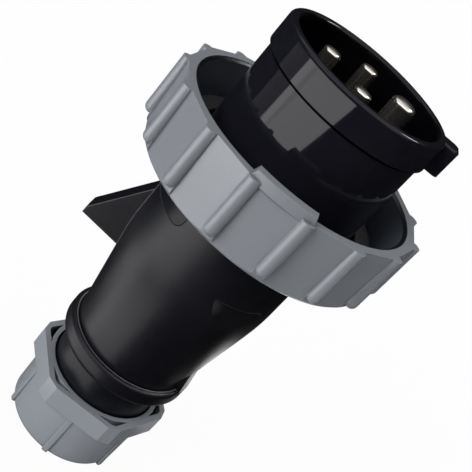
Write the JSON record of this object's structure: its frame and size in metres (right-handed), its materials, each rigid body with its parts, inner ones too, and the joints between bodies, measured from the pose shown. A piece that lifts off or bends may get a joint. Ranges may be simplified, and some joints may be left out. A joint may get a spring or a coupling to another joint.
{
  "type": "industrial plug with bayonet ring",
  "caption": "Round watertight industrial power plug: black shroud round its pins, ribbed grey bayonet ring, tapered handle with a pull fin, hexagonal cable gland nut.",
  "frame": {"origin": "centre of the gland nut's end face, on the plug's axis, where the cable enters and the plug stands", "axes": "+Z along the plug's axis towards the pins, +X towards the earth pin and the key nib, -X towards the pull fin"},
  "size_m": [0.0776, 0.0773, 0.1419],
  "materials": {
    "gloss_black": "glossy black moulded plastic",
    "satin_black": "satin black moulded plastic with a fine grain",
    "grey_plastic": "satin blue-grey moulded plastic",
    "lining_black": "smooth black plastic",
    "carrier_black": "satin black insulating plastic",
    "plated_pin": "bright nickel plate on brass",
    "zinc_steel": "zinc-plated steel",
    "seal_rubber": "soft black rubber",
    "basket_nylon": "natural nylon"
  },
  "bodies": {
    "plug_body": {"contact_housing": "gloss_black", "pin_carrier": "carrier_black", "earth_pin": "plated_pin", "phase_pin_1": "plated_pin", "phase_pin_2": "plated_pin", "phase_pin_3": "plated_pin", "terminal_screws": "zinc_steel", "terminal_plates": "zinc_steel", "face_seal": "seal_rubber", "housing_seal": "seal_rubber", "handle_housing": "satin_black", "gland_basket": "basket_nylon", "gland_seal": "seal_rubber"},
    "ring_body": {"bayonet_ring": "grey_plastic", "bayonet_liner": "lining_black"},
    "thrust_body": {"thrust_ring": "basket_nylon"},
    "nut_body": {"gland_nut": "grey_plastic"}
  },
  "joints": [
    {"name": "ring_turn", "type": "hinge", "parent": "plug_body", "child": "ring_body", "pos_m": [0, 0, 0.1], "axis": [0, 0, 1], "range_deg": [0, 45]},
    {"name": "nut_travel", "type": "slide", "parent": "plug_body", "child": "thrust_body", "axis": [0, 0, -1], "range_m": [0, 0.0061]},
    {"name": "nut_turn", "type": "hinge", "parent": "thrust_body", "child": "nut_body", "pos_m": [0, 0, 0.01], "axis": [0, 0, -1], "range_deg": [0, 1080]}
  ],
  "couplings": [
    {"joint": "nut_travel", "follows": "nut_turn", "m_per_rad": 0.00031831}
  ]
}
